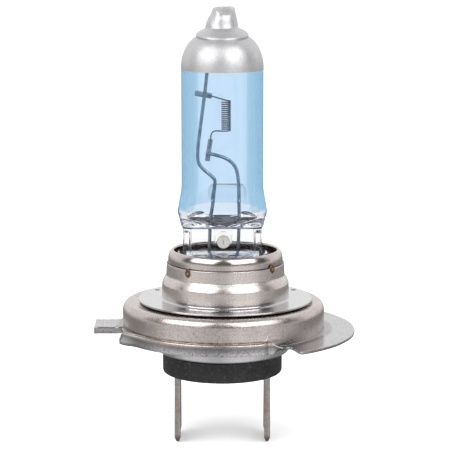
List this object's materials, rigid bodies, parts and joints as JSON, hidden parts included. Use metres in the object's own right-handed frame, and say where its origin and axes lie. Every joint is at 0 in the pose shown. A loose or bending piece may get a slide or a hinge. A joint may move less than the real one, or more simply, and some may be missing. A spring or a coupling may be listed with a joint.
{
  "type": "headlight bulb",
  "caption": "Halogen headlight bulb: coated quartz tube with a clamped filament, a welded collar, a ring with lugs to seat it, and flat blades behind.",
  "frame": {"origin": "ring axis, in the plane of the ring's front face", "axes": "+Z along the ring axis towards the glass tip, +X towards the wide lug, +Y along the blades' width"},
  "size_m": [0.0348, 0.0283, 0.0577],
  "materials": {
    "quartz_glass": "clear",
    "blue_filter": "clear blue film",
    "silver_paint": "matte grainy silver paint",
    "tungsten": "dull wire",
    "molybdenum": "satin",
    "bridge_quartz": "clear",
    "foil": "satin foil",
    "lead_wire": "satin",
    "spring_steel": "satin",
    "collar_steel": "satin drawn sheet",
    "weld": "heat-tinted",
    "ring_steel": "satin pressed sheet with fine scratches",
    "shell_steel": "satin",
    "black_plastic": "matte speckled",
    "blade_metal": "satin tin plate"
  },
  "bodies": {
    "root": {"glass_envelope": "quartz_glass", "blue_filter_coating": "blue_filter", "silver_cap_coating": "silver_paint", "filament_coil": "tungsten", "upper_filament_clamp": "molybdenum", "lower_filament_clamp": "molybdenum", "long_support_wire": "molybdenum", "short_support_wire": "molybdenum", "quartz_bridge": "bridge_quartz", "left_sealing_foil": "foil", "right_sealing_foil": "foil", "left_outer_lead": "lead_wire", "right_outer_lead": "lead_wire", "pinch_clip": "spring_steel", "holder_cap": "collar_steel", "collar_sleeve": "collar_steel", "collar_weld_spots": "weld", "flange_weld_spots": "weld", "reference_ring": "ring_steel", "base_shell": "shell_steel", "base_insulator": "black_plastic", "left_terminal_blade": "blade_metal", "right_terminal_blade": "blade_metal"}
  },
  "joints": []
}
